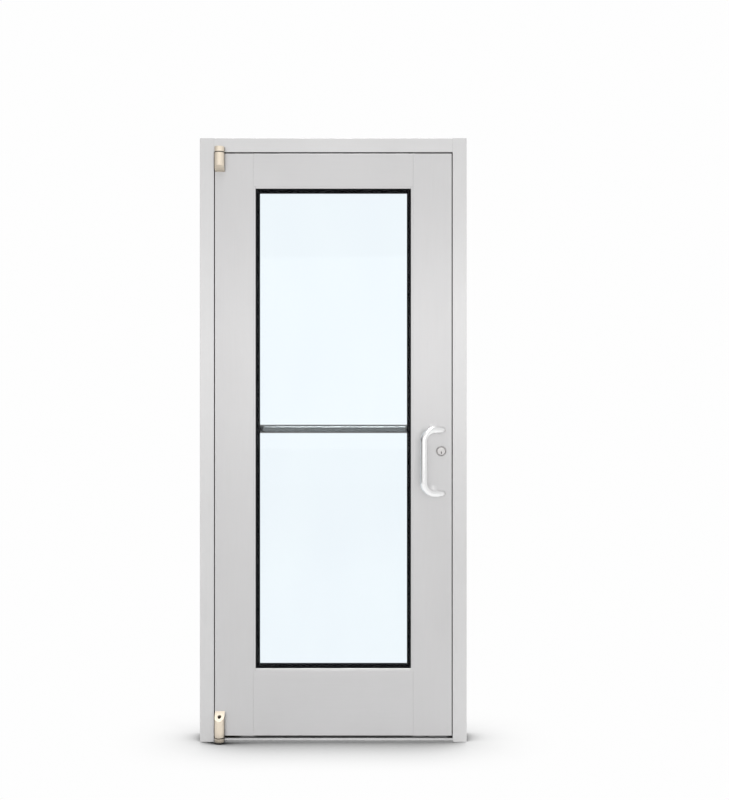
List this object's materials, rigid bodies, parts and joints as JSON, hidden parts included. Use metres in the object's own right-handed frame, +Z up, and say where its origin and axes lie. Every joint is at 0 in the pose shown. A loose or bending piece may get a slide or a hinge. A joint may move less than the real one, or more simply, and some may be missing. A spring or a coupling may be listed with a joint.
{
  "type": "glass door",
  "caption": "Full-light aluminium storefront door in its own frame, hung on offset pivots, with a pull handle, a push bar and a deadlock.",
  "frame": {"origin": "centre of the threshold's underside, on the floor, midway between the jambs and midway through the frame's depth", "axes": "+X from the hinge jamb to the strike jamb, +Y from the outside (pull side) through the wall to the inside, +Z up"},
  "size_m": [0.9652, 0.1954, 2.1844],
  "materials": {
    "frame_aluminium": "clear satin anodised",
    "leaf_aluminium": "clear satin anodised",
    "mill_aluminium": "mill finish",
    "pivot_metal": "champagne metallic lacquer",
    "fixing_steel": "zinc plated",
    "satin_chrome": "satin",
    "black_rubber": "matt",
    "black_plastic": "matt",
    "clear_glass": "clear",
    "bush_bronze": "sintered bronze",
    "pull_metal": "bright satin",
    "bar_metal": "satin"
  },
  "bodies": {
    "frame": {"hinge_jamb": "frame_aluminium", "strike_jamb": "frame_aluminium", "head": "frame_aluminium", "threshold": "mill_aluminium", "hinge_door_stop": "frame_aluminium", "strike_door_stop": "frame_aluminium", "head_door_stop": "frame_aluminium", "hinge_weatherstrip": "black_rubber", "strike_weatherstrip": "black_rubber", "head_weatherstrip": "black_rubber", "shear_blocks": "mill_aluminium", "shear_block_screws": "fixing_steel", "strike_plate": "satin_chrome", "strike_screws": "fixing_steel", "top_pivot_bracket": "pivot_metal", "bottom_pivot_bracket": "pivot_metal", "top_pivot_pin": "fixing_steel", "bottom_pivot_pin": "fixing_steel", "thrust_washers": "black_plastic", "bracket_screws": "fixing_steel"},
    "door": {"hinge_stile": "leaf_aluminium", "lock_stile": "leaf_aluminium", "top_rail": "leaf_aluminium", "bottom_rail": "leaf_aluminium", "tie_rods": "fixing_steel", "tie_rod_nuts": "fixing_steel", "top_pivot_arm": "pivot_metal", "bottom_pivot_arm": "pivot_metal", "pivot_bushes": "bush_bronze", "pivot_blocks": "mill_aluminium", "arm_screws": "fixing_steel", "outer_stop_hinge": "leaf_aluminium", "outer_stop_lock": "leaf_aluminium", "outer_stop_top": "leaf_aluminium", "outer_stop_bottom": "leaf_aluminium", "inner_stop_hinge": "leaf_aluminium", "inner_stop_lock": "leaf_aluminium", "inner_stop_top": "leaf_aluminium", "inner_stop_bottom": "leaf_aluminium", "outer_gasket": "black_rubber", "inner_gasket": "black_rubber", "outer_pane": "clear_glass", "inner_pane": "clear_glass", "pane_spacer": "black_plastic", "setting_blocks": "black_rubber", "pull_handle": "pull_metal", "push_bar": "bar_metal", "handle_studs": "fixing_steel", "stud_nuts": "fixing_steel", "lock_case": "fixing_steel", "lock_faceplate": "satin_chrome", "faceplate_screws": "fixing_steel", "outer_cylinder": "satin_chrome", "inner_cylinder": "satin_chrome", "cylinder_collars": "satin_chrome"},
    "deadbolt_body": {"deadbolt": "satin_chrome"},
    "key": {"key_plug": "satin_chrome", "key_cam": "fixing_steel"},
    "thumb": {"thumbturn": "satin_chrome"}
  },
  "joints": [
    {"name": "door_swing", "type": "hinge", "parent": "frame", "child": "door", "pos_m": [-0.40955, -0.0762, 1], "axis": [0, 0, -1], "range_deg": [0, 170]},
    {"name": "bolt_throw", "type": "hinge", "parent": "door", "child": "deadbolt_body", "pos_m": [0.409, -0.03492, 0.985], "axis": [0, 1, 0], "range_deg": [0, 90]},
    {"name": "key_turn", "type": "hinge", "parent": "door", "child": "key", "pos_m": [0.3905, -0.0626, 1.0465], "axis": [0, 1, 0], "range_deg": [0, 360]},
    {"name": "thumb_turn", "type": "hinge", "parent": "door", "child": "thumb", "pos_m": [0.3905, -0.00725, 1.0465], "axis": [0, 1, 0], "range_deg": [0, 360]}
  ],
  "couplings": [
    {"joint": "key_turn", "follows": "bolt_throw", "ratio": 4},
    {"joint": "thumb_turn", "follows": "bolt_throw", "ratio": 4}
  ]
}
